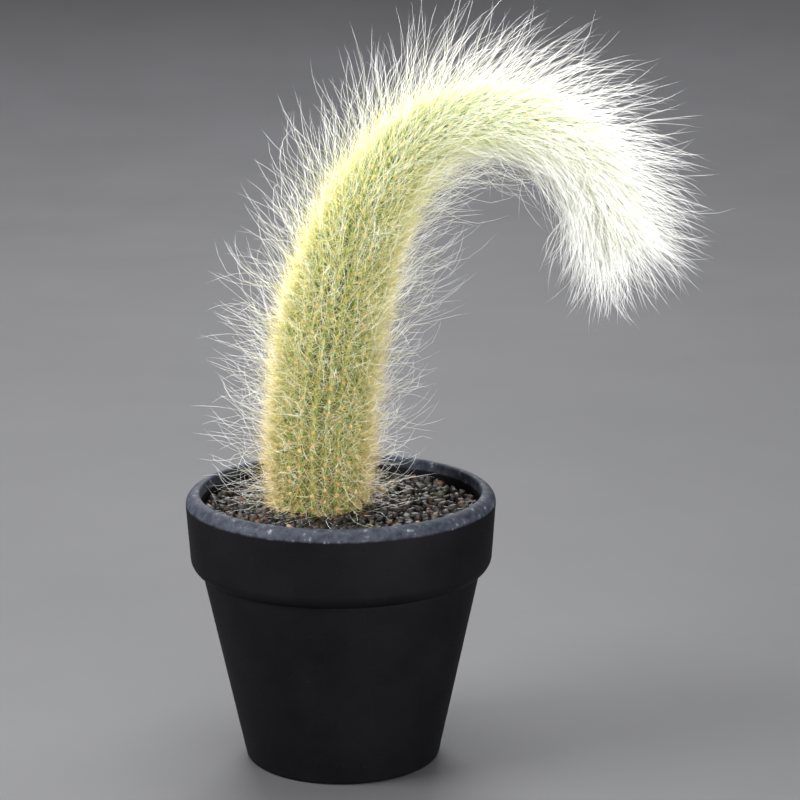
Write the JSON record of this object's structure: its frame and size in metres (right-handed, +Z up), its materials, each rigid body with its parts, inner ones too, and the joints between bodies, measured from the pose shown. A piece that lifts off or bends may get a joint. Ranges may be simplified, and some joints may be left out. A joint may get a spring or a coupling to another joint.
{
  "type": "potted monkey tail cactus",
  "caption": "Small clay pot filled with potting mix and dark gravel, from which one hairy columnar cactus stem rises and arches over to one side.",
  "frame": {"origin": "on the ground, under the middle of the whole plant's bounding box", "axes": "+Z up, +X the way the stem arches over, +Y to the back"},
  "size_m": [0.1498, 0.09, 0.2201],
  "materials": {
    "black_clay": "matte, smooth black coat over clay with fine pits",
    "potting_mix": "rough, dark brown",
    "gravel": "matte, dark grey to brown small stones",
    "cactus": "green ribbed skin under cream spines and long white hairs"
  },
  "bodies": {
    "root": {"pot": "black_clay", "potting_mix": "potting_mix", "gravel": "gravel", "cactus": "cactus"}
  },
  "joints": []
}
